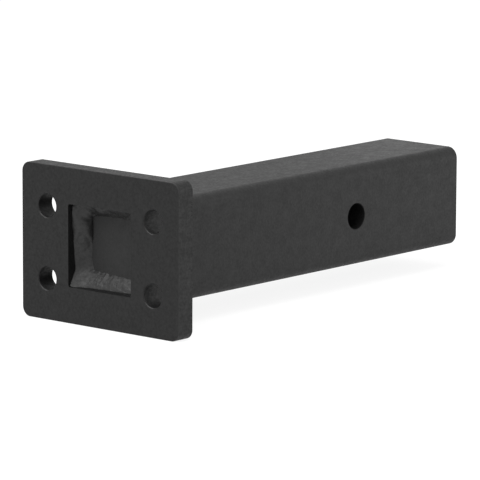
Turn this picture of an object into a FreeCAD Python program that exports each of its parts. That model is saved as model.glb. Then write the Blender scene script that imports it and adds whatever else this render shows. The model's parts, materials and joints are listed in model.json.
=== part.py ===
import FreeCAD, Part
import math
import os

# Pintle hook mount for a square hitch receiver.
# A solid square bar slides into the receiver and is held by a cross pin.
# A flat plate with four bolt holes is welded to the bar's front end and carries the hook.
# The plate has a square window, smaller than the bar, so that the plate seats on the bar's end
# and is welded to it from the front, round the inside of the window.
# Behind the plate one weld runs along the bar's top and one along its bottom. The bar's sides
# stay bare there, because the nuts of the hook's bolts sit close to them.
#
# Frame: origin at the centre of the pin hole, +X along the bar away from the plate,
# +Y across the bar along the pin, +Z up. Lengths are millimetres.

# Square bar
SHANK_SIDE = 63.5
SHANK_LENGTH = 292.1
SHANK_CORNER_RADIUS = 7.0
SHANK_END_BREAK = 0.4
PIN_HOLE_DIAMETER = 16.5
PIN_HOLE_TO_END = 101.6
PIN_HOLE_CHAMFER = 0.3

# Plate, which sits a little higher than the bar's axis
PLATE_WIDTH = 127.0
PLATE_HEIGHT = 95.25
PLATE_THICKNESS = 12.7
PLATE_CORNER_RADIUS = 6.0
PLATE_RISE = 1.7
PLATE_EDGE_BREAK = 0.35

# Window in the plate, smaller than the bar by a lap on each side
WINDOW_LAP = 6.35
WINDOW_CORNER_RADIUS = 1.6

# Bolt holes of the hook's standard pattern
BOLT_SPACING_Y = 85.7
BOLT_SPACING_Z = 44.5
BOLT_HOLE_DIAMETER = 14.4
BOLT_HOLE_CHAMFER = 0.5

# Weld in the window: the leg along the bar's end and the leg up the window's wall
WINDOW_WELD_END_LEG = 8.6
WINDOW_WELD_WALL_LEG = 7.6
WINDOW_WELD_CROWN = 0.9

# Welds behind the plate: the leg along the bar and the leg up the plate
REAR_WELD_LEG = 8.0
REAR_WELD_CROWN = 0.8
REAR_WELD_END_SCALE = 0.55
REAR_WELD_TAPER = 5.0

# Ripples that the welder's hand leaves along the window's weld, and the slow waver of its width
RIPPLE_PITCH = 4.2
RIPPLE_DEPTH = 0.5
WAVER_LENGTH = 17.0
WAVER_SHARE = 0.07

# Planes that follow from the sizes
SHANK_FAR_X = PIN_HOLE_TO_END
JOINT_X = SHANK_FAR_X - SHANK_LENGTH
PLATE_FRONT_X = JOINT_X - PLATE_THICKNESS
WINDOW_SIDE = SHANK_SIDE - 2 * WINDOW_LAP

ORIGIN = FreeCAD.Vector(0, 0, 0)
X_AXIS = FreeCAD.Vector(1, 0, 0)
Y_AXIS = FreeCAD.Vector(0, 1, 0)
Z_AXIS = FreeCAD.Vector(0, 0, 1)
FULL_TURN = 360
SAME_PLACE = 1e-4


def rounded_bar(width, height, radius, x_start, x_end, centre_z):
    """A bar along X with a rectangular section and round corners."""
    corner = FreeCAD.Vector(x_start, -width / 2, centre_z - height / 2)
    block = Part.makeBox(x_end - x_start, width, height, corner)
    long_edges = [edge for edge in block.Edges if abs(edge.tangentAt(0).x) > 0.5]
    return block.makeFillet(radius, long_edges)


def edges_at_x(shape, x):
    """The edges that lie in the plane across X at the given place."""
    return [edge for edge in shape.Edges
            if max(abs(edge.BoundBox.XMin - x), abs(edge.BoundBox.XMax - x)) < SAME_PLACE]


def drill(start, direction, sideways, length, radius, chamfer):
    """A hole's tool: a round rod from start, flared where it breaks through both faces."""
    flare = radius + 2 * chamfer
    profile = [(0, -chamfer), (flare, -chamfer), (radius, chamfer),
               (radius, length - chamfer), (flare, length + chamfer), (0, length + chamfer)]
    points = [start + sideways * out + direction * along for out, along in profile]
    face = Part.Face(Part.makePolygon(points + points[:1]))
    return face.revolve(start, direction, FULL_TURN)


def bolt_centres():
    """The four bolt holes' places as (y, z)."""
    return [(side * BOLT_SPACING_Y / 2, PLATE_RISE + row * BOLT_SPACING_Z / 2)
            for side in (-1, 1) for row in (-1, 1)]


def window_prism():
    """The space of the window, through the plate's full thickness."""
    return rounded_bar(WINDOW_SIDE, WINDOW_SIDE, WINDOW_CORNER_RADIUS,
                       PLATE_FRONT_X, JOINT_X, PLATE_RISE)


def mounting_plate():
    """The front plate, with its window and its bolt holes."""
    blank = rounded_bar(PLATE_WIDTH, PLATE_HEIGHT, PLATE_CORNER_RADIUS,
                        PLATE_FRONT_X, JOINT_X, PLATE_RISE)
    rims = edges_at_x(blank, PLATE_FRONT_X) + edges_at_x(blank, JOINT_X)
    plate = blank.makeChamfer(PLATE_EDGE_BREAK, rims).cut(window_prism())
    for y, z in bolt_centres():
        start = FreeCAD.Vector(PLATE_FRONT_X, y, z)
        plate = plate.cut(drill(start, X_AXIS, Y_AXIS, PLATE_THICKNESS,
                                BOLT_HOLE_DIAMETER / 2, BOLT_HOLE_CHAMFER))
    return plate


def shank_bar():
    """The solid square bar with its cross hole."""
    bar = rounded_bar(SHANK_SIDE, SHANK_SIDE, SHANK_CORNER_RADIUS, JOINT_X, SHANK_FAR_X, 0)
    bar = bar.makeChamfer(SHANK_END_BREAK, edges_at_x(bar, SHANK_FAR_X))
    side = ORIGIN - Y_AXIS * (SHANK_SIDE / 2)
    return bar.cut(drill(side, Y_AXIS, X_AXIS, SHANK_SIDE, PIN_HOLE_DIAMETER / 2, PIN_HOLE_CHAMFER))


def bead_section(place, across_leg, up_leg, crown):
    """One cross-section of a fillet weld: two straight legs and a round face.

    place turns a distance across and a distance up into a point.
    """
    slope = math.hypot(across_leg, up_leg)
    root = place(0, 0)
    toe = place(across_leg, 0)
    top = place(0, up_leg)
    middle = place(across_leg / 2 + crown * up_leg / slope, up_leg / 2 + crown * across_leg / slope)
    return Part.Wire([Part.LineSegment(root, toe).toShape(),
                      Part.Arc(toe, middle, top).toShape(),
                      Part.LineSegment(top, root).toShape()])


def rippled_stations(length):
    """A hand-laid bead's cross-sections, as (share of the length, width, height, extra crown).

    Every other section stands proud, which makes the ripples, and the width wavers slowly.
    Both fade out at the ends, where the next bead joins.
    """
    steps = 2 * max(2, round(length / RIPPLE_PITCH))
    wavers = max(1, round(length / WAVER_LENGTH))
    for step in range(steps + 1):
        share = step / steps
        width = 1 + WAVER_SHARE * math.sin(2 * math.pi * wavers * share)
        yield share, width, 1, RIPPLE_DEPTH * (step % 2)


def tapered_stations(length):
    """A plain bead's cross-sections, smaller at the two ends, where the weld starts and stops."""
    taper = REAR_WELD_TAPER / length
    for share, size in ((0, REAR_WELD_END_SCALE), (taper, 1), (1 - taper, 1), (1, REAR_WELD_END_SCALE)):
        yield share, size, size, 0


def bead(start, along, across, up, length, legs, crown, stations, mitred):
    """A fillet weld from start, for length in the direction along, through its cross-sections.

    A mitred bead ends in corners of 45 degrees, where the next bead joins it.
    """
    sections = []
    for share, width, height, extra in stations:

        def place(out, rise, share=share):
            lead = out if mitred else 0
            return start + along * (lead + share * (length - 2 * lead)) + across * out + up * rise

        sections.append(bead_section(place, legs[0] * width, legs[1] * height, crown * height + extra))
    return Part.makeLoft(sections, True, True)


def window_weld():
    """The weld round the inside of the window, between the bar's end and the window's walls."""
    centre = FreeCAD.Vector(JOINT_X, 0, PLATE_RISE)
    half = WINDOW_SIDE / 2
    sides = []
    for along, across in ((Y_AXIS, Z_AXIS), (Z_AXIS, -Y_AXIS), (-Y_AXIS, -Z_AXIS), (-Z_AXIS, Y_AXIS)):
        start = centre - along * half - across * half
        sides.append(bead(start, along, across, -X_AXIS, WINDOW_SIDE,
                          (WINDOW_WELD_END_LEG, WINDOW_WELD_WALL_LEG), WINDOW_WELD_CROWN,
                          rippled_stations(WINDOW_SIDE), True))
    return sides[0].fuse(sides[1:]).common(window_prism())


def rear_weld(upward):
    """A weld behind the plate, on the flat of the bar's top (upward 1) or bottom (upward -1)."""
    flat = SHANK_SIDE - 2 * SHANK_CORNER_RADIUS
    start = FreeCAD.Vector(JOINT_X, -flat / 2, upward * SHANK_SIDE / 2)
    return bead(start, Y_AXIS, X_AXIS, Z_AXIS * upward, flat,
                (REAR_WELD_LEG, REAR_WELD_LEG), REAR_WELD_CROWN, tapered_stations(flat), False)


PIECES = {
    "mounting_plate": mounting_plate(),
    "shank_bar": shank_bar(),
    "window_weld": window_weld(),
    "top_weld": rear_weld(1),
    "bottom_weld": rear_weld(-1),
}

os.makedirs("parts", exist_ok=True)
for name, shape in PIECES.items():
    shape.exportStep(f"parts/{name}.step")
    print(name, len(shape.Solids), "solid", round(shape.Volume), "mm3", "valid", shape.isValid())
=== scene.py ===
# %% [markdown]
# A pintle hook mount: a thick steel plate with four bolt holes, welded to a solid square bar that slides
# into a hitch receiver. Everything on it wears the same satin black powder coat. The shapes come from the
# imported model, which is loaded first and stays where it is. The looks are built around it: the coat with
# its fine grain, the cutting marks on the plate's rim, and the hand-laid weld beads.

# %% The frame
import json
import math

import bmesh
import bpy
from mathutils import Matrix, Vector


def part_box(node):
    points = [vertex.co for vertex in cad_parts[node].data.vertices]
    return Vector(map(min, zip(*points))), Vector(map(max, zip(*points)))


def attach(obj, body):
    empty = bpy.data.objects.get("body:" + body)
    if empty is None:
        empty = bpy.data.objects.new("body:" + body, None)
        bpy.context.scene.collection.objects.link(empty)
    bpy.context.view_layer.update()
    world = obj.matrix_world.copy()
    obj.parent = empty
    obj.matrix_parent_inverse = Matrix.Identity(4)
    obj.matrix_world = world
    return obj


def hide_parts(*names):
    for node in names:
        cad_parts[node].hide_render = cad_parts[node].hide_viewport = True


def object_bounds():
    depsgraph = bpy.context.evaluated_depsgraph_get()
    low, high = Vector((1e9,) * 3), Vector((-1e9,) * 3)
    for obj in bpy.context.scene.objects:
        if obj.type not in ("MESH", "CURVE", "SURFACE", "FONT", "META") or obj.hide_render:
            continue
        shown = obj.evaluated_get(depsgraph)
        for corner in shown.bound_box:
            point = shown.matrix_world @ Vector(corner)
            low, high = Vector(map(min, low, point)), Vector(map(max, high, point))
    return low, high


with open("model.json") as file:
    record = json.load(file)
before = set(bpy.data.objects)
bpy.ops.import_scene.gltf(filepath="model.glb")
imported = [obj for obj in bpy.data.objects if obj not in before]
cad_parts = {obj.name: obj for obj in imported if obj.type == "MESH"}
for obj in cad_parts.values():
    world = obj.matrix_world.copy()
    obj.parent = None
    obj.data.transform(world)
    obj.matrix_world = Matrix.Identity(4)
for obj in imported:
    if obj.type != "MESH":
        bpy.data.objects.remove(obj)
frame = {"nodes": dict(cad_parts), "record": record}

MM = 0.001
SCENE = bpy.context.scene
CAD_LOW, CAD_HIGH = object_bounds()
PLATE_LOW, PLATE_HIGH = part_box("mounting_plate")
BAR_LOW, BAR_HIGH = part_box("shank_bar")
WINDOW_LOW, WINDOW_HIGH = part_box("window_weld")
MOUNTS = {mount["name"]: mount["dims"] for mount in frame["record"]["mounts"]}
print("plate thickness in mm:", round((PLATE_HIGH.x - PLATE_LOW.x) / MM, 2))
print("bar side in mm:", round((BAR_HIGH.y - BAR_LOW.y) / MM, 2))

# %% [markdown]
# The camera stands in front of the plate, to its right and a little above it, with a long lens. Its angle,
# distance and lens were found by matching the plate's and the bar's edges to the photograph. A camera could
# be aimed with a constraint, but a matrix from three directions says exactly where it looks and how it leans.

# %% Camera
CAMERA_YAW = math.radians(40.87)
CAMERA_PITCH = math.radians(10.18)
CAMERA_LEAN = math.radians(0.21)
CAMERA_DISTANCE = 2.6795
CAMERA_AIM = Vector((-0.1471, -0.0626, 0.0082))
PHOTO_PIXELS = 480
FOCAL_PIXELS = 4484.7
SENSOR_MM = 36.0


def make_camera():
    """The photograph's camera: look runs into the picture, right and up along its sides."""
    look = Vector((math.cos(CAMERA_YAW) * math.cos(CAMERA_PITCH),
                   math.sin(CAMERA_YAW) * math.cos(CAMERA_PITCH), -math.sin(CAMERA_PITCH)))
    level_right = Vector((math.sin(CAMERA_YAW), -math.cos(CAMERA_YAW), 0))
    level_up = level_right.cross(look)
    right = level_right * math.cos(CAMERA_LEAN) + level_up * math.sin(CAMERA_LEAN)
    up = right.cross(look)
    data = bpy.data.cameras.new("camera")
    data.sensor_width = SENSOR_MM
    data.lens = FOCAL_PIXELS / PHOTO_PIXELS * SENSOR_MM
    camera = bpy.data.objects.new("camera", data)
    SCENE.collection.objects.link(camera)
    turn = Matrix((right, up, -look)).transposed().to_4x4()
    camera.matrix_world = Matrix.Translation(CAMERA_AIM - look * CAMERA_DISTANCE) @ turn
    return camera


SCENE.camera = make_camera()
print("lens in mm:", round(SCENE.camera.data.lens, 1))

# %% [markdown]
# A material or a geometry tree is a graph of small nodes. Building one by hand takes many similar lines, so
# a helper adds a node, sets its plain values and joins its inputs in one call. A second one writes formulas
# with math nodes, and a third starts a node group with named sockets.

# %% Node helpers


def add_node(tree, kind, inputs=(), **settings):
    """Adds a node. settings are its properties. inputs maps a socket's name or place to a value or to the
    output that feeds it."""
    node = tree.nodes.new(kind)
    for name, value in settings.items():
        setattr(node, name, value)
    for socket, value in dict(inputs).items():
        if isinstance(value, bpy.types.NodeSocket):
            tree.links.new(value, node.inputs[socket])
        else:
            node.inputs[socket].default_value = value
    return node


class Maths:
    """Short calls for the math nodes of one tree, so that a formula reads almost as it is written."""

    def __init__(self, tree):
        self.tree = tree

    def run(self, operation, *values):
        return add_node(self.tree, "ShaderNodeMath", dict(enumerate(values)), operation=operation).outputs[0]

    def chain(self, operation, values):
        total = values[0]
        for value in values[1:]:
            total = self.run(operation, total, value)
        return total

    def add(self, *values):
        return self.chain("ADD", values)

    def subtract(self, *values):
        return self.chain("SUBTRACT", values)

    def multiply(self, *values):
        return self.chain("MULTIPLY", values)

    def divide(self, a, b):
        return self.run("DIVIDE", a, b)

    def least(self, *values):
        return self.chain("MINIMUM", values)

    def most(self, *values):
        return self.chain("MAXIMUM", values)

    def power(self, a, b):
        return self.run("POWER", a, b)

    def size(self, a):
        return self.run("ABSOLUTE", a)

    def root(self, a):
        return self.run("SQRT", self.most(a, 0.0))

    def length(self, a, b):
        return self.root(self.add(self.multiply(a, a), self.multiply(b, b)))

    def between(self, a, b, share):
        return self.add(a, self.multiply(self.subtract(b, a), share))

    def ramp(self, value, low, high, start=0.0, end=1.0, kind="LINEAR"):
        """value's place between low and high, as a number from start to end, held at both."""
        return add_node(self.tree, "ShaderNodeMapRange", {0: value, 1: low, 2: high, 3: start, 4: end},
                        interpolation_type=kind).outputs[0]

    def hump(self, share):
        """0 at both ends of a share and 1 in its middle."""
        return self.multiply(4.0, share, self.subtract(1.0, share))


def new_group(kind, name, inputs, outputs):
    """An empty node group with float inputs, given as name and default, and outputs, as name and kind."""
    tree = bpy.data.node_groups.new(name, kind)
    for label, value in inputs.items():
        socket = tree.interface.new_socket(label, in_out="INPUT", socket_type="NodeSocketFloat")
        socket.default_value = value
    for label, socket_kind in outputs.items():
        tree.interface.new_socket(label, in_out="OUTPUT", socket_type=socket_kind)
    return tree, add_node(tree, "NodeGroupInput").outputs, Maths(tree)


# %% [markdown]
# The photograph is a studio picture on pure white. A soft white surround lights everything. A large panel
# overhead in front brightens the top faces and the weld's lower bead, and one beyond the bar's far end makes
# its side lighter towards that end. The floor and the surround look white to the camera and in reflections
# through their own colour, so no extra light falls on the black metal. The floor still darkens where the
# part shades it.

# %% Floor, surround and lamps
FLOOR_SIZE = 12.0
FLOOR_GAP = 0.0001
FLOOR_ALBEDO = 0.8
FLOOR_SHADE_SHARE = 0.2
SURROUND_LIGHT = 0.62
WHITE = (1, 1, 1, 1)
LAMPS = {
    "front_top_panel": {"place": Vector((-0.5, 0.1, 1.1)), "size": 1.5, "watts": 17.7},
    "right_panel": {"place": Vector((0.5, -1.0, 0.3)), "size": 1.0, "watts": 3.3},
    "far_side_panel": {"place": Vector((0.34, -0.22, 0.0)), "size": 0.15, "watts": 0.13},
    "far_top_panel": {"place": Vector((0.28, 0.16, 0.06)), "size": 0.1, "watts": 0.036},
}
LIGHT_TARGET = Vector((-0.05, 0.0, 0.0))


def seen_directly(tree):
    """1 for the camera, and in reflections and through glass."""
    rays = add_node(tree, "ShaderNodeLightPath").outputs
    return Maths(tree).most(rays["Is Camera Ray"], rays["Is Glossy Ray"], rays["Is Transmission Ray"])


def make_floor():
    """A pale floor under the plate's lower edge."""
    half = FLOOR_SIZE / 2
    z = CAD_LOW.z - FLOOR_GAP
    mesh = bpy.data.meshes.new("floor")
    corners = [(-half, -half, z), (half, -half, z), (half, half, z), (-half, half, z)]
    mesh.from_pydata(corners, [], [(0, 1, 2, 3)])
    floor = bpy.data.objects.new("floor", mesh)
    SCENE.collection.objects.link(floor)
    material = bpy.data.materials.new("pale_floor")
    material.use_nodes = True
    tree = material.node_tree
    tree.nodes.clear()
    plain = add_node(tree, "ShaderNodeBsdfDiffuse", {"Color": (FLOOR_ALBEDO,) * 3 + (1,)})
    shaded = add_node(tree, "ShaderNodeBsdfDiffuse", {"Color": (FLOOR_SHADE_SHARE,) * 3 + (1,)})
    glow_strength = 1 - FLOOR_SHADE_SHARE * SURROUND_LIGHT
    glow = add_node(tree, "ShaderNodeEmission", {"Color": WHITE, "Strength": glow_strength})
    white = add_node(tree, "ShaderNodeAddShader", {0: shaded.outputs[0], 1: glow.outputs[0]})
    mix = add_node(tree, "ShaderNodeMixShader",
                   {0: seen_directly(tree), 1: plain.outputs[0], 2: white.outputs[0]})
    add_node(tree, "ShaderNodeOutputMaterial", {"Surface": mix.outputs[0]})
    mesh.materials.append(material)


def make_surround():
    """The world: white where it is seen, and a dimmer even light on the part."""
    world = bpy.data.worlds.new("surround")
    SCENE.world = world
    world.use_nodes = True
    tree = world.node_tree
    tree.nodes.clear()
    strength = Maths(tree).ramp(seen_directly(tree), 0.0, 1.0, SURROUND_LIGHT, 1.0)
    light = add_node(tree, "ShaderNodeBackground", {"Color": WHITE, "Strength": strength})
    add_node(tree, "ShaderNodeOutputWorld", {"Surface": light.outputs[0]})


def make_lamp(name, place, size, watts):
    """A square lamp that faces the part."""
    data = bpy.data.lights.new(name, "AREA")
    data.size = size
    data.energy = watts
    lamp = bpy.data.objects.new(name, data)
    SCENE.collection.objects.link(lamp)
    turn = (LIGHT_TARGET - place).to_track_quat("-Z", "Y").to_matrix().to_4x4()
    lamp.matrix_world = Matrix.Translation(place) @ turn
    lamp.visible_camera = False


SCENE.view_settings.view_transform = "Standard"
make_floor()
make_surround()
for lamp_name, lamp in LAMPS.items():
    make_lamp(lamp_name, **lamp)

# %% [markdown]
# Powder coat is sprayed on as dust and melted into a skin. Up close it has a fine grain, and under that a
# gentle unevenness like orange peel. Both could be image textures, but noise in the object's own space has
# no seams and stays sharp at any distance. In holes and recesses the coat's colour is darkened as painted
# shade, and its roughness can be set apart there. Every part of the mount wears this coat, so it is one
# shader group with named inputs that each material sets for itself.

# %% Powder coat group
COAT_TONE = 0.008
COAT_ROUGHNESS = 0.615
COAT_SPECULAR = 0.295
# How far the painted shade in holes and recesses darkens the coat's tone.
PAINTED_SHADE_TONE_SHARE = 0.3


def object_place(tree):
    """The place on the object, in its own coordinates."""
    return add_node(tree, "ShaderNodeTexCoord").outputs["Object"]


def noise(tree, vector, scale, detail=2.0):
    """Noise around 0 in the given space."""
    found = add_node(tree, "ShaderNodeTexNoise", {"Vector": vector, "Scale": scale, "Detail": detail})
    return Maths(tree).subtract(found.outputs[0], 0.5)


def make_coat_group():
    """The coat's colour, roughness and height, from its grain, its orange peel and the painted shade in recesses."""
    tree, given, maths = new_group(
        "ShaderNodeTree", "powder_coat",
        {"Tone": COAT_TONE, "Roughness": COAT_ROUGHNESS, "Recess": 0.0, "Dull": 0.0, "Relief mm": 0.0,
         "Grain Size mm": 1.5, "Grain Roughness": 0.5, "Grain Height mm": 0.05,
         "Peel Size mm": 6.0, "Peel Roughness": 0.2, "Peel Height mm": 0.03},
        {"Color": "NodeSocketColor", "Roughness": "NodeSocketFloat", "Height": "NodeSocketFloat"})
    place = object_place(tree)
    grain = noise(tree, place, maths.divide(1 / MM, given["Grain Size mm"]))
    peel = noise(tree, place, maths.divide(1 / MM, given["Peel Size mm"]))
    # Painted shade: the coat's tone is darkened in holes and recesses.
    tone = maths.multiply(given["Tone"], maths.between(1.0, PAINTED_SHADE_TONE_SHARE, given["Recess"]))
    colour = add_node(tree, "ShaderNodeCombineColor", {0: tone, 1: tone, 2: tone})
    rough = maths.add(given["Roughness"], given["Dull"], maths.multiply(grain, given["Grain Roughness"]),
                      maths.multiply(peel, given["Peel Roughness"]))
    height = maths.add(given["Relief mm"], maths.multiply(grain, given["Grain Height mm"]),
                       maths.multiply(peel, given["Peel Height mm"]))
    add_node(tree, "NodeGroupOutput", {"Color": colour.outputs[0], "Roughness": rough,
                                       "Height": maths.multiply(height, MM)})
    return tree


COAT_GROUP = make_coat_group()


def make_coat_material(name, specular=COAT_SPECULAR, marks=None, **values):
    """A black powder coat. marks adds its own nodes to the tree and returns more inputs for the coat."""
    material = bpy.data.materials.new(name)
    material.use_nodes = True
    tree = material.node_tree
    shader = tree.nodes["Principled BSDF"]
    shader.inputs["Specular IOR Level"].default_value = specular
    inputs = {label.replace("_", " "): value for label, value in values.items()}
    if marks:
        inputs.update(marks(tree))
    coat = add_node(tree, "ShaderNodeGroup", inputs, node_tree=COAT_GROUP).outputs
    bump = add_node(tree, "ShaderNodeBump", {"Height": coat["Height"], "Distance": 1.0})
    tree.links.new(coat["Color"], shader.inputs["Base Color"])
    tree.links.new(coat["Roughness"], shader.inputs["Roughness"])
    tree.links.new(bump.outputs["Normal"], shader.inputs["Normal"])
    return material


# %% [markdown]
# The plate was cut from thick sheet by a torch or a plasma jet, which leaves fine lines across its rim, with
# a few nicks where the jet came out at the back. The marks could be painted on, but they depend only on
# where a point lies, so a group works out masks from the object's coordinates: the bolt holes, the walls of
# the window, the rim, and thin bands along the front edge and round the holes' front rims. The distance from
# a rectangle with round corners finds the rim. The holes, the window and the nicks get painted shade, and
# the front edge a painted highlight.

# %% The plate's masks
PLATE_CENTRE_Z = (PLATE_LOW.z + PLATE_HIGH.z) / 2
PLATE_CORNER_MM = 6.0
MASK_EDGE_MM = 0.06
RIM_DEPTH_MM = 0.3
EDGE_WIDTH_MM = 0.45


def make_plate_masks():
    """Masks of the plate's bores, its window's walls and its rim, from a point's place on the plate."""
    bolts = MOUNTS["pintle_bolts"]
    tree, given, maths = new_group(
        "ShaderNodeTree", "plate_masks",
        {"Centre Z mm": PLATE_CENTRE_Z / MM, "Half Width mm": PLATE_HIGH.y / MM,
         "Half Height mm": (PLATE_HIGH.z - PLATE_LOW.z) / 2 / MM, "Corner Radius mm": PLATE_CORNER_MM,
         "Bolt Half Y mm": bolts["spacing_x_mm"] / 2, "Bolt Half Z mm": bolts["spacing_y_mm"] / 2,
         "Hole Radius mm": bolts["hole_r_mm"], "Window Half mm": WINDOW_HIGH.y / MM},
        {"Holes": "NodeSocketFloat", "Window": "NodeSocketFloat", "Rim": "NodeSocketFloat",
         "Edge": "NodeSocketFloat", "Hole Edge": "NodeSocketFloat"})
    place = add_node(tree, "ShaderNodeSeparateXYZ", {0: object_place(tree)}).outputs
    across = maths.size(maths.divide(place["Y"], MM))
    up = maths.size(maths.subtract(maths.divide(place["Z"], MM), given["Centre Z mm"]))

    def inside(distance, edge):
        return maths.ramp(distance, edge, maths.add(edge, MASK_EDGE_MM), 1.0, 0.0)

    from_hole = maths.length(maths.subtract(across, given["Bolt Half Y mm"]),
                             maths.subtract(up, given["Bolt Half Z mm"]))
    past_y = maths.subtract(maths.add(across, given["Corner Radius mm"]), given["Half Width mm"])
    past_z = maths.subtract(maths.add(up, given["Corner Radius mm"]), given["Half Height mm"])
    outside = maths.length(maths.most(past_y, 0.0), maths.most(past_z, 0.0))
    from_rim = maths.subtract(maths.add(outside, maths.least(maths.most(past_y, past_z), 0.0)),
                              given["Corner Radius mm"])
    depth = maths.divide(maths.subtract(place["X"], PLATE_LOW.x), MM)
    off_face = maths.ramp(depth, 0.0, MASK_EDGE_MM)
    at_front = maths.multiply(off_face, maths.ramp(depth, EDGE_WIDTH_MM, EDGE_WIDTH_MM + MASK_EDGE_MM, 1.0, 0.0))
    # The Edge output is a thin band along the plate's front edge, used for a painted highlight.
    add_node(tree, "NodeGroupOutput", {
        "Edge": maths.multiply(at_front, maths.ramp(from_rim, -EDGE_WIDTH_MM, MASK_EDGE_MM - EDGE_WIDTH_MM)),
        "Hole Edge": maths.multiply(at_front, inside(from_hole, maths.add(given["Hole Radius mm"], 1.0))),
        "Holes": inside(from_hole, given["Hole Radius mm"]),
        "Window": inside(maths.most(across, up), given["Window Half mm"]),
        "Rim": maths.ramp(from_rim, -RIM_DEPTH_MM, MASK_EDGE_MM - RIM_DEPTH_MM)})
    return tree


# %% The plate's and the bar's finish
CUT_LINE_MM = 1.8
CUT_LINE_STRETCH = 0.06
CUT_LINE_ROUGHNESS = 0.2
CUT_LINE_HEIGHT_MM = 0.07
NICK_REACH_MM = 3.5
NICK_DEPTH_MM = 0.5
NICK_FIRST, NICK_FULL = 0.07, 0.13
HOLE_DULLNESS = -0.01
HOLE_EDGE_SHINE = 0.25
# A painted highlight: the lighter tone of the plate's front edge.
EDGE_HIGHLIGHT_TONE = 0.02
# Painted light: a paler tone on the bar's end seen through the window, where the recess shades it.
BAR_END_LIGHT_TONE = 0.02


def plate_marks(tree):
    """Painted shade in the holes, the window and the nicks, and a painted highlight on the front edge. Also
    cutting lines across the rim, and nicks at its back edge.
    """
    maths = Maths(tree)
    masks = add_node(tree, "ShaderNodeGroup", node_tree=PLATE_MASKS).outputs
    place = object_place(tree)
    drawn_out = add_node(tree, "ShaderNodeMapping", {"Vector": place, "Scale": (CUT_LINE_STRETCH, 1, 1)})
    lines = noise(tree, drawn_out.outputs[0], 1 / (CUT_LINE_MM * MM))
    x = add_node(tree, "ShaderNodeSeparateXYZ", {0: place}).outputs["X"]
    at_back = maths.ramp(x, PLATE_HIGH.x - NICK_REACH_MM * MM, PLATE_HIGH.x)
    nicks = maths.multiply(maths.ramp(lines, NICK_FIRST, NICK_FULL), at_back, masks["Rim"])
    relief = maths.subtract(maths.multiply(lines, masks["Rim"], CUT_LINE_HEIGHT_MM),
                            maths.multiply(nicks, NICK_DEPTH_MM))
    dull = maths.add(maths.multiply(lines, masks["Rim"], CUT_LINE_ROUGHNESS),
                     maths.multiply(masks["Holes"], HOLE_DULLNESS),
                     maths.multiply(masks["Hole Edge"], -HOLE_EDGE_SHINE))
    # Painted shade darkens the holes, the window and the nicks, and a painted highlight lightens the front edge.
    return {"Recess": maths.most(masks["Holes"], masks["Window"], nicks), "Dull": dull, "Relief mm": relief,
            "Tone": maths.between(COAT_TONE, EDGE_HIGHLIGHT_TONE, masks["Edge"])}


def bar_marks(tree):
    """Painted shade in the pin hole, and painted light on the bar's end that shows in the window."""
    maths = Maths(tree)
    place = add_node(tree, "ShaderNodeSeparateXYZ", {0: object_place(tree)}).outputs
    from_pin = maths.divide(maths.length(place["X"], place["Z"]), MM)
    radius = MOUNTS["hitch_pin_hole"]["r_mm"]
    in_hole = maths.ramp(from_pin, radius, radius + MASK_EDGE_MM, 1.0, 0.0)
    at_end = maths.ramp(place["X"], BAR_LOW.x, BAR_LOW.x + MASK_EDGE_MM * MM, 1.0, 0.0)
    # Painted shade in the pin hole, and painted light on the bar's end.
    return {"Recess": in_hole, "Dull": maths.multiply(in_hole, HOLE_DULLNESS),
            "Tone": maths.between(COAT_TONE, BAR_END_LIGHT_TONE, at_end)}


def dress(node_name, material):
    """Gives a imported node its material."""
    node = frame["nodes"][node_name]
    node.data.materials.clear()
    node.data.materials.append(material)


PLATE_MASKS = make_plate_masks()
dress("mounting_plate", make_coat_material("plate_coat", marks=plate_marks))
dress("shank_bar", make_coat_material("bar_coat", marks=bar_marks, Grain_Roughness=0.3))

# %% [markdown]
# A hand-laid weld is a row of small overlapping puddles. Each one froze a moment before the next, which
# leaves curved ripples across the bead. They could be sculpted, but a ripple is a rule repeated along a
# line, so a small geometry node group works out its height from the distance along the bead. It serves
# twice: for the fine ripples and for the longer strokes of the hand. Lean turns round humps into lapped
# ones, each with a steep edge where it covers the last.

# %% The ripples group
RIPPLE_CURVE = 1.5


def make_ripples_group():
    """How high each place on a rippled bead stands, from 0 to 1. Sideways is -1 and 1 at the bead's toes."""
    tree, given, maths = new_group(
        "GeometryNodeTree", "weld_ripples",
        {"Distance": 0.0, "Sideways": 0.0, "Pitch": 2.6, "Bow": 0.5, "Lean": 0.5, "Steepness": 3.0, "Start": 0.0,
         "Jitter": 0.0},
        {"Height": "NodeSocketFloat"})
    bow = maths.multiply(given["Bow"], maths.power(maths.size(given["Sideways"]), RIPPLE_CURVE))
    travelled = maths.divide(maths.add(given["Distance"], given["Start"]), given["Pitch"])
    part = maths.run("FRACT", maths.add(travelled, bow, given["Jitter"]))
    lapped = maths.least(maths.subtract(1.0, part), maths.multiply(part, given["Steepness"]))
    add_node(tree, "NodeGroupOutput", {"Height": maths.between(maths.hump(part), lapped, given["Lean"])})
    return tree


RIPPLES_GROUP = make_ripples_group()

# %% [markdown]
# Where two beads meet in the window's corner, each ends at 45 degrees. A plain mitre would leave a sharp
# valley, but molten metal fills it, so a second group rounds the inside of the corner. It bends each line
# that runs along the bead into an arc near the corner, with its largest radius in the middle of the face.

# %% The corner group
MITRE_SHARE = 1 - math.sqrt(0.5)


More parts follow.
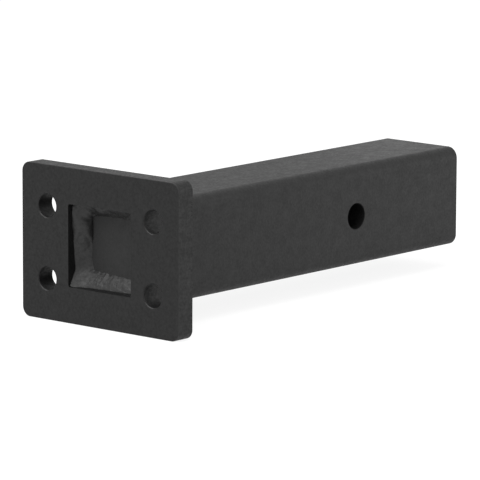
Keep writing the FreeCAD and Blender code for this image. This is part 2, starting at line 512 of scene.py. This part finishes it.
def make_corner_group():
    """Moves a point of the bead along it and outwards, so that a mitred corner is round inside."""
    tree, given, maths = new_group(
        "GeometryNodeTree", "weld_corner",
        {"Along": 0.0, "Out": 0.0, "Floor Leg": 8.0, "Length": 50.0, "Wall Radius": 1.6, "Face Radius": 3.0,
         "Toe Radius": 0.8, "Mitre": 1.0},
        {"Run": "NodeSocketFloat", "Out": "NodeSocketFloat"})
    share = maths.ramp(given["Out"], 0.0, given["Floor Leg"])
    radius = maths.add(maths.between(given["Wall Radius"], given["Toe Radius"], share),
                       maths.multiply(given["Face Radius"], maths.hump(share)))
    radius = maths.multiply(radius, given["Mitre"])
    lead = maths.multiply(maths.add(given["Out"], maths.multiply(radius, MITRE_SHARE)), given["Mitre"])
    middle_run = maths.subtract(given["Length"], maths.multiply(lead, 2.0))
    run = maths.add(lead, maths.multiply(given["Along"], middle_run))
    from_end = maths.least(run, maths.subtract(given["Length"], run))
    into_arc = maths.most(maths.subtract(maths.add(given["Out"], radius), from_end), 0.0)
    arc = maths.root(maths.subtract(maths.multiply(radius, radius), maths.multiply(into_arc, into_arc)))
    bent = maths.add(given["Out"], maths.subtract(radius, arc))
    add_node(tree, "NodeGroupOutput", {"Run": run, "Out": bent})
    return tree


CORNER_GROUP = make_corner_group()

# %% [markdown]
# The bead itself is a flat grid that is bent into a fillet's closed section: its round face, the leg down
# the wall and the leg back along the floor. The face is raised by ripples, by strokes and by a little noise.
# Beads that meet in a corner share its legs and its fill, and their own sizes fade in from there, so that
# they join without a step. Every size is a named input, in millimetres, so one tree serves all the beads.

# %% The weld bead tree
BEAD_STEPS_ALONG = 231
BEAD_STEPS_ACROSS = 45
FACE_SHARE = 0.8
CALM_REACH = 5.0
NOISE_SWING = 2.0
TOE_FADE = 1.2
TOE_PEAK = 4.55
LUMP_SCALE, SPECK_SCALE, WAVER_SCALE, JITTER_SCALE = 0.3, 1.6, 0.13, 0.22
ACROSS_MM = 14.0
STROKE_STEEPNESS = 5.0
PILE_BLEND_MM = 1.2
PILE_EDGE = 0.2
BEAD_INPUTS = {
    "Length": 50.0, "Floor Leg Start": 8.0, "Floor Leg End": 8.0, "Wall Leg Start": 8.0, "Wall Leg End": 8.0,
    "Crown": 0.5, "Corner Crown": -0.2, "Corner Reach": 12.0, "Start Floor": 9.0, "Start Wall": 9.0,
    "Start Fill": 0.0, "Start Round": 3.0, "Start Pile": 0.0, "Start Spread": 20.0,
    "End Floor": 9.0, "End Wall": 9.0, "End Fill": 0.0, "End Round": 3.0, "End Pile": 0.0, "End Spread": 20.0,
    "Ripple Pitch": 2.6, "Ripple Depth": 0.07, "Ripple Bow": 0.5, "Stroke Pitch": 14.0,
    "Stroke Depth Start": 0.3, "Stroke Depth End": 0.3, "Stroke Bow": 0.6, "Stroke Start": 0.0, "Lean": 0.5,
    "Toe Stroke": 0.6, "Toe Waver": 0.6, "Toe Hollow": 0.5, "Thick Place": 0.0, "Thick Length": 8.0,
    "Thick Height": 0.0, "Lump Height": 0.45, "Speck Height": 0.12, "Mitre": 1.0, "Taper": 0.001, "Seed": 0.0}


class BeadParts:
    """The tree of one bead while it is built, with the values that its steps share."""

    def __init__(self):
        self.tree, self.given, self.maths = new_group(
            "GeometryNodeTree", "weld_bead", BEAD_INPUTS, {"Geometry": "NodeSocketGeometry"})
        self.tree.is_modifier = True
        self.tree.interface.new_socket("Finish", in_out="INPUT", socket_type="NodeSocketMaterial")
        place = add_node(self.tree, "GeometryNodeInputPosition").outputs[0]
        spot = add_node(self.tree, "ShaderNodeSeparateXYZ", {0: place}).outputs
        self.along = self.maths.add(spot["X"], 0.5)
        self.around = self.maths.add(spot["Y"], 0.5)
        self.distance = self.maths.multiply(self.along, self.given["Length"])
        self.face = self.maths.ramp(self.around, 0.0, FACE_SHARE)
        self.hump = self.maths.hump(self.face)
        self.dome = self.maths.root(self.hump)
        self.sideways = self.maths.subtract(self.maths.multiply(self.face, 2.0), 1.0)

    def run_at(self, out):
        """How far along the window's side a point lies. Mitred lines start later the further out they are."""
        shift = self.maths.multiply(out, self.maths.subtract(1.0, self.maths.multiply(self.along, 2.0)))
        return self.maths.add(self.distance, self.maths.multiply(shift, self.given["Mitre"]))

    def noise(self, scale, shift, run, across=0.0):
        """Noise around 0 along the bead, and across it too where across isn't 0."""
        where = add_node(self.tree, "ShaderNodeCombineXYZ", {
            0: run, 1: self.maths.multiply(self.around, across), 2: self.maths.add(self.given["Seed"], shift)})
        return noise(self.tree, where.outputs[0], scale)

    def ripples(self, kind, run, sideways, **more):
        """The ripples group with the inputs that start with kind."""
        inputs = {"Distance": run, "Sideways": sideways, "Lean": self.given["Lean"],
                  "Pitch": self.given[kind + " Pitch"], "Bow": self.given[kind + " Bow"], **more}
        return add_node(self.tree, "GeometryNodeGroup", inputs, node_tree=RIPPLES_GROUP).outputs[0]


def bead_ends(parts):
    """How near a point is to each end, from 0 to 1, and how much it may vary, from 0 at the ends."""
    maths, given = parts.maths, parts.given
    to_end = maths.subtract(given["Length"], parts.distance)
    near_start = maths.ramp(parts.distance, 0.0, given["Corner Reach"], 1.0, 0.0, "SMOOTHSTEP")
    near_end = maths.ramp(to_end, 0.0, given["Corner Reach"], 1.0, 0.0, "SMOOTHSTEP")
    calm = maths.ramp(maths.least(parts.distance, to_end), 0.0, CALM_REACH, kind="SMOOTHSTEP")
    return maths.multiply(near_start, given["Mitre"]), maths.multiply(near_end, given["Mitre"]), calm


def bead_lift(parts, near_start, near_end, calm, run):
    """How far the face stands out from the straight line between its two toes."""
    maths, given = parts.maths, parts.given
    ripples = parts.ripples("Ripple", run, parts.sideways, Jitter=parts.noise(JITTER_SCALE, 3.0, run))
    strokes = parts.ripples("Stroke", run, parts.sideways, Start=given["Stroke Start"],
                            Steepness=STROKE_STEEPNESS)
    stroke_depth = maths.between(given["Stroke Depth Start"], given["Stroke Depth End"], parts.along)
    relief = maths.add(maths.multiply(ripples, given["Ripple Depth"]),
                       maths.multiply(strokes, stroke_depth),
                       maths.multiply(parts.noise(LUMP_SCALE, 11.0, run, ACROSS_MM), given["Lump Height"]),
                       maths.multiply(parts.noise(SPECK_SCALE, 23.0, run, ACROSS_MM), given["Speck Height"]))
    crown = maths.between(given["Crown"], given["Corner Crown"], maths.most(near_start, near_end))
    fill = maths.add(maths.multiply(near_start, given["Start Fill"]), maths.multiply(near_end, given["End Fill"]))
    from_thick = maths.divide(maths.subtract(parts.distance, given["Thick Place"]), given["Thick Length"])
    thick = maths.run("EXPONENT", maths.multiply(from_thick, from_thick, -1.0))
    far_side = maths.subtract(1.0, parts.face)
    toe = maths.multiply(TOE_PEAK, parts.face, maths.power(far_side, TOE_FADE))
    toe_rise = maths.between(maths.multiply(given["Toe Hollow"], -1.0), given["Thick Height"], thick)
    return maths.add(maths.multiply(crown, parts.hump), maths.multiply(fill, parts.dome),
                     maths.multiply(relief, parts.dome, calm), maths.multiply(toe, toe_rise, calm))


def bead_leg(parts, name, near_start, near_end, calm, shift, strokes):
    """One leg's length, from its start and end values, its waver and the two corners' shared values."""
    maths, given = parts.maths, parts.given
    own = maths.between(given[name + " Leg Start"], given[name + " Leg End"], parts.along)
    waver = maths.multiply(parts.noise(WAVER_SCALE, shift, parts.distance), given["Toe Waver"], NOISE_SWING)
    own = maths.add(own, maths.multiply(calm, maths.add(waver, strokes)))
    own = maths.between(own, given["Start " + name], near_start)
    return maths.between(own, given["End " + name], near_end)


def corner_pile(parts, run, out):
    """The height of the metal piled up in the bead's two corners, which falls off away from each one.

    It is lowered by the length of its blend, so that a corner with no pile adds nothing."""
    maths, given = parts.maths, parts.given
    heights = []
    for end, from_end in (("Start", run), ("End", maths.subtract(given["Length"], run))):
        share = maths.divide(maths.add(from_end, out), given[end + " Spread"])
        heights.append(maths.multiply(given[end + " Pile"], maths.subtract(1.0, share)))
    return maths.subtract(maths.most(*heights), PILE_BLEND_MM)


def make_bead_tree():
    """A fillet weld along X. Y is the distance out from the wall and Z the distance up it."""
    parts = BeadParts()
    tree, given, maths = parts.tree, parts.given, parts.maths
    near_start, near_end, calm = bead_ends(parts)
    at_end = maths.least(parts.along, maths.subtract(1.0, parts.along))
    tapering = maths.root(maths.ramp(maths.multiply(at_end, given["Length"]), 0.0, given["Taper"]))
    size = maths.most(given["Mitre"], tapering)
    strokes = parts.ripples("Stroke", parts.distance, 1.0, Start=given["Stroke Start"])
    scallops = maths.multiply(maths.subtract(strokes, 0.5), given["Toe Stroke"])
    floor_leg = maths.multiply(bead_leg(parts, "Floor", near_start, near_end, calm, 31.0, scallops), size)
    wall_leg = bead_leg(parts, "Wall", near_start, near_end, calm, 47.0, 0.0)
    wall_leg = maths.multiply(wall_leg, size)

    leg_share = (1 - FACE_SHARE) / 2
    down_wall = maths.ramp(parts.around, FACE_SHARE, FACE_SHARE + leg_share)
    back_out = maths.ramp(parts.around, FACE_SHARE + leg_share, 1.0)
    out_share = maths.add(maths.subtract(1.0, parts.face), back_out)
    up_share = maths.subtract(parts.face, down_wall)
    slope = maths.most(maths.length(floor_leg, wall_leg), 0.001)
    chord_out = maths.multiply(out_share, floor_leg)
    chord_up = maths.multiply(up_share, wall_leg)
    run = parts.run_at(chord_out)
    lift = maths.multiply(bead_lift(parts, near_start, near_end, calm, run), size)
    out = maths.add(chord_out, maths.divide(maths.multiply(lift, wall_leg), slope))
    bent = add_node(tree, "GeometryNodeGroup", {
        "Along": parts.along, "Out": out, "Floor Leg": maths.most(floor_leg, 0.001),
        "Face Radius": maths.between(given["Start Round"], given["End Round"], parts.along),
        "Length": given["Length"], "Mitre": given["Mitre"]}, node_tree=CORNER_GROUP).outputs
    pile = corner_pile(parts, bent["Run"], bent["Out"])
    pile_rise = maths.run("SMOOTH_MAX", maths.subtract(pile, chord_up), 0.0, PILE_BLEND_MM)
    up = maths.add(chord_up, maths.divide(maths.multiply(lift, floor_leg), slope),
                   maths.multiply(pile_rise, maths.ramp(up_share, 0.0, PILE_EDGE, kind="SMOOTHSTEP")))

    grid = add_node(tree, "GeometryNodeMeshGrid", {
        "Size X": 1.0, "Size Y": 1.0, "Vertices X": BEAD_STEPS_ALONG, "Vertices Y": BEAD_STEPS_ACROSS})
    place = add_node(tree, "ShaderNodeCombineXYZ", {0: bent["Run"], 1: bent["Out"], 2: up})
    shaped = add_node(tree, "GeometryNodeSetPosition", {
        "Geometry": grid.outputs["Mesh"], "Position": place.outputs[0]})
    closed = add_node(tree, "GeometryNodeMergeByDistance", {"Geometry": shaped.outputs[0], "Distance": 0.0005})
    real = add_node(tree, "GeometryNodeRealizeInstances", {"Geometry": closed.outputs[0]})
    painted = add_node(tree, "GeometryNodeSetMaterial", {
        "Geometry": real.outputs[0], "Material": given["Finish"]})
    add_node(tree, "NodeGroupOutput", {"Geometry": painted.outputs[0]})
    return tree


BEAD_TREE = make_bead_tree()
WELD_COAT = make_coat_material("weld_coat", specular=0.46, Tone=0.011, Roughness=0.48, Grain_Height_mm=0.06)
print("inputs of the bead tree:", len(BEAD_INPUTS))

# %% [markdown]
# A modifier with the tree makes one bead, and its result is copied into a plain mesh. That mesh is then
# laid in place by a matrix from three directions, because a finished piece keeps its object at the origin.
# Beads that share a corner are joined and merged there into one closed piece.

# %% Laying beads
MERGE_MM = 0.02
SHARP_ANGLE = math.radians(55)
LEFT = Vector((0, 1, 0))
UPWARD = Vector((0, 0, 1))
FORWARD = Vector((-1, 0, 0))


def lay_bead(place, **sizes):
    """One bead as a plain mesh. place takes its own axes, in millimetres, to the mount's, in metres."""
    carrier = bpy.data.objects.new("bead_carrier", bpy.data.meshes.new("bead_carrier"))
    SCENE.collection.objects.link(carrier)
    modifier = carrier.modifiers.new("bead", "NODES")
    modifier.node_group = BEAD_TREE
    sockets = {item.name: item.identifier for item in BEAD_TREE.interface.items_tree
               if item.in_out == "INPUT"}
    modifier[sockets["Finish"]] = WELD_COAT
    for label, value in sizes.items():
        modifier[sockets[label.replace("_", " ")]] = value
    bpy.context.view_layer.update()
    result = carrier.evaluated_get(bpy.context.evaluated_depsgraph_get())
    mesh = bpy.data.meshes.new_from_object(result)
    bpy.data.objects.remove(carrier)
    mesh.transform(place)
    return mesh


def axes_at(corner, along, out, up):
    """The matrix that lays a bead's own axes on three directions from a corner."""
    turn = Matrix((along, out, up)).transposed().to_4x4()
    return Matrix.Translation(corner) @ turn @ Matrix.Scale(MM, 4)


def join_beads(name, meshes, node_name):
    """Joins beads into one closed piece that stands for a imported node."""
    shape = bmesh.new()
    for mesh in meshes:
        shape.from_mesh(mesh)
    bmesh.ops.remove_doubles(shape, verts=shape.verts, dist=MERGE_MM * MM)
    bmesh.ops.recalc_face_normals(shape, faces=shape.faces)
    open_edges = sum(1 for edge in shape.edges if len(edge.link_faces) != 2)
    joined = bpy.data.meshes.new(name)
    shape.to_mesh(joined)
    shape.free()
    joined.materials.append(WELD_COAT)
    joined.polygons.foreach_set("use_smooth", [True] * len(joined.polygons))
    joined.set_sharp_from_angle(angle=SHARP_ANGLE)
    piece = bpy.data.objects.new(name, joined)
    SCENE.collection.objects.link(piece)
    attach(piece, "root")
    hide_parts(node_name)
    print(name, "faces:", len(joined.polygons), "edges not shared by two faces:", open_edges)


# %% [markdown]
# The weld in the plate's window goes round its four walls, and the left and the bottom bead show best. The
# bottom one is low at the right and broad at the left, with strokes like an arrowhead. The left one has
# longer strokes and a thick place near its top. The welder stopped and started in the corners, which left
# them full.

# %% The window's weld
WINDOW_HALF = WINDOW_HIGH.y
WINDOW_CENTRE = Vector((WINDOW_HIGH.x, 0, (WINDOW_LOW.z + WINDOW_HIGH.z) / 2))
WINDOW_CORNERS = [{"Floor": 7.4, "Wall": 4.0, "Fill": 0.0}, {"Floor": 9.6, "Wall": 9.0, "Fill": 0.0, "Pile": 12.8, "Spread": 24.3, "Round": 1.2},
                  {"Floor": 8.6, "Wall": 8.8, "Fill": 1.0, "Round": 5.0}, {"Floor": 6.8, "Wall": 6.0, "Fill": 0.0}]
WINDOW_SIDES = [
    {"along": LEFT, "out": UPWARD, "Floor_Leg_Start": 7.6, "Floor_Leg_End": 9.8, "Wall_Leg_Start": 3.6,
     "Wall_Leg_End": 7.8, "Crown": 0.3, "Stroke_Pitch": 11.0, "Stroke_Depth_Start": 0.3,
     "Stroke_Depth_End": 0.0, "Stroke_Bow": 1.2, "Lean": 0.6, "Toe_Stroke": 0.7, "Toe_Waver": 0.8,
     "Toe_Hollow": 0.0, "Ripple_Bow": 0.35, "Seed": 2.0},
    {"along": UPWARD, "out": -LEFT, "Floor_Leg_Start": 7.6, "Floor_Leg_End": 9.2, "Wall_Leg_Start": 5.2,
     "Wall_Leg_End": 10.4, "Stroke_Pitch": 22.0, "Stroke_Depth_Start": 0.1, "Stroke_Depth_End": 1.5, "Stroke_Bow": 0.42,
     "Stroke_Start": 11.3,
     "Toe_Stroke": 0.8, "Thick_Place": 38.0, "Thick_Length": 9.0, "Thick_Height": 0.9, "Seed": 5.0},
    {"along": -LEFT, "out": -UPWARD, "Floor_Leg_Start": 7.2, "Floor_Leg_End": 6.8, "Wall_Leg_Start": 7.2,
     "Wall_Leg_End": 6.0, "Thick_Place": 15.0, "Thick_Length": 7.0, "Thick_Height": 0.5, "Seed": 9.0},
    {"along": -UPWARD, "out": LEFT, "Seed": 14.0}]


def window_weld():
    """The four beads, each from one corner to the next."""
    beads = []
    for index, side in enumerate(WINDOW_SIDES):
        sizes = dict(side)
        along, out = sizes.pop("along"), sizes.pop("out")
        ends = {"Start": WINDOW_CORNERS[index], "End": WINDOW_CORNERS[(index + 1) % len(WINDOW_CORNERS)]}
        sizes.update({f"{end}_{label}": value for end, corner in ends.items() for label, value in corner.items()})
        corner = WINDOW_CENTRE - along * WINDOW_HALF - out * WINDOW_HALF
        beads.append(lay_bead(axes_at(corner, along, out, FORWARD), Length=2 * WINDOW_HALF / MM, **sizes))
    join_beads("window_weld_bead", beads, "window_weld")


window_weld()

# %% [markdown]
# Behind the plate, one bead lies along the bar's top and one along its bottom. They are plain production
# welds, out of sight in the photograph: even ripples, and ends that taper off where the torch was lifted.

# %% Welds behind the plate
REAR_LEG = 7.2
REAR_TAPER = 6.0


def rear_weld(name, node_name, upward, seed):
    """The bead on the bar's top (upward 1) or bottom (upward -1)."""
    low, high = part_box(node_name)
    along = LEFT * upward
    corner = Vector((PLATE_HIGH.x, -upward * high.y, BAR_HIGH.z if upward > 0 else BAR_LOW.z))
    legs = {f"{leg}_Leg_{end}": REAR_LEG for leg in ("Floor", "Wall") for end in ("Start", "End")}
    bead = lay_bead(axes_at(corner, along, UPWARD * upward, -FORWARD), Length=(high.y - low.y) / MM, **legs,
                    Mitre=0.0, Taper=REAR_TAPER, Ripple_Depth=0.3, Ripple_Bow=1.2,
                    Stroke_Depth_Start=0.15, Stroke_Depth_End=0.15, Toe_Hollow=0.0, Seed=seed)
    join_beads(name, [bead], node_name)


rear_weld("top_weld_bead", "top_weld", 1, 21.0)
rear_weld("bottom_weld_bead", "bottom_weld", -1, 27.0)
